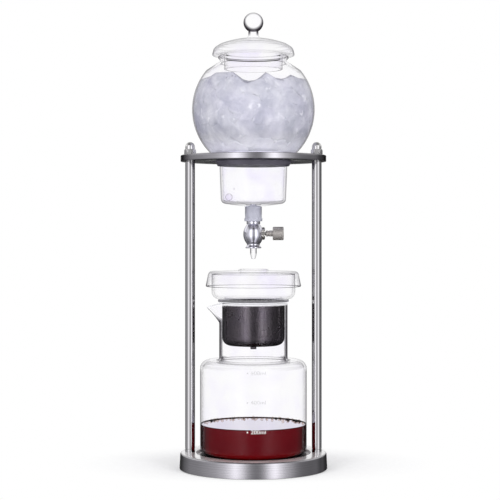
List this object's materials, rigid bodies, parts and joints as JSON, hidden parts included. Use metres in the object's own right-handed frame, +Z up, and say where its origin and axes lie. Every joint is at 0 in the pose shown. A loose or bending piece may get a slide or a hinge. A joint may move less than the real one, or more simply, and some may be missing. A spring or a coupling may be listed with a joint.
{
  "type": "cold drip coffee tower",
  "caption": "Cold drip coffee maker: steel base and posts carry a plate with a glass ice globe; a needle valve drips through a filter cup into a glass carafe.",
  "frame": {"origin": "centre of the round base, on the table under the rubber foot ring", "axes": "+Z up along the axis of the globe, valve, chamber and carafe; +X to the valve knob and the right post; -Y to the front, where the carafe comes out"},
  "size_m": [0.1432, 0.1432, 0.4418],
  "materials": {
    "brushed_steel": "spun, fine brushed",
    "polished_steel": "polished",
    "plated_steel": "zinc plated",
    "cast_iron": "raw",
    "cover_paint": "matte black",
    "dark_rubber": "matte",
    "pale_silicone": "frosted, translucent",
    "clear_glass": "clear, polished",
    "ice": "frosted ice",
    "melt_water": "clear water",
    "coffee": "clear dark red brown liquid",
    "wet_grounds": "coarse, damp",
    "filter_paper": "thin, matte",
    "valve_chrome": "mirror polished",
    "packing": "white, waxy",
    "knurled_steel": "fine knurl, matte"
  },
  "bodies": {
    "stand": {"base_shell": "brushed_steel", "base_weight": "cast_iron", "base_cover": "cover_paint", "cover_screws": "plated_steel", "foot_ring": "dark_rubber", "carafe_mat": "dark_rubber", "post_left": "polished_steel", "post_right": "polished_steel", "tie_rods": "plated_steel", "base_washers": "plated_steel", "base_nuts": "plated_steel", "top_plate": "brushed_steel", "plate_washers": "polished_steel", "cap_nuts": "polished_steel", "seat_ring": "dark_rubber"},
    "tank": {"tank_globe": "clear_glass", "tank_stopper": "pale_silicone", "tank_water": "melt_water", "ice_cubes": "ice", "valve_body": "valve_chrome", "valve_packing": "packing", "packing_nut": "valve_chrome", "drip_tip": "clear_glass"},
    "tank_lid": {"tank_lid": "clear_glass"},
    "valve_needle": {"valve_needle": "plated_steel"},
    "valve_knob": {"valve_knob": "knurled_steel", "knob_set_screw": "plated_steel"},
    "carafe": {"carafe": "clear_glass", "brewed_coffee": "coffee"},
    "brew_chamber": {"filter_cup": "polished_steel", "filter_gasket": "pale_silicone", "coffee_grounds": "wet_grounds", "paper_filter": "filter_paper", "brew_bowl": "clear_glass"},
    "bowl_lid": {"bowl_lid": "clear_glass"}
  },
  "joints": [
    {"name": "tank_lift", "type": "slide", "parent": "stand", "child": "tank", "axis": [0, 0, 1], "range_m": [0, 0.115]},
    {"name": "tank_lid_lift", "type": "slide", "parent": "tank", "child": "tank_lid", "axis": [0, 0, 1], "range_m": [0, 0.06]},
    {"name": "needle_travel", "type": "slide", "parent": "tank", "child": "valve_needle", "axis": [1, 0, 0], "range_m": [-0.0004, 0.0016]},
    {"name": "knob_turn", "type": "hinge", "parent": "valve_needle", "child": "valve_knob", "pos_m": [0, 0, 0.2276], "axis": [1, 0, 0], "range_deg": [-180, 720]},
    {"name": "carafe_pull", "type": "slide", "parent": "stand", "child": "carafe", "axis": [0, -0.9701, 0.2425], "range_m": [0, 0.135]},
    {"name": "chamber_lift", "type": "slide", "parent": "carafe", "child": "brew_chamber", "axis": [0, 0, 1], "range_m": [0, 0.0125]},
    {"name": "bowl_lid_lift", "type": "slide", "parent": "brew_chamber", "child": "bowl_lid", "axis": [0, 0, 1], "range_m": [0, 0.014]}
  ],
  "couplings": [
    {"joint": "needle_travel", "follows": "knob_turn", "m_per_rad": 0.00012732}
  ]
}
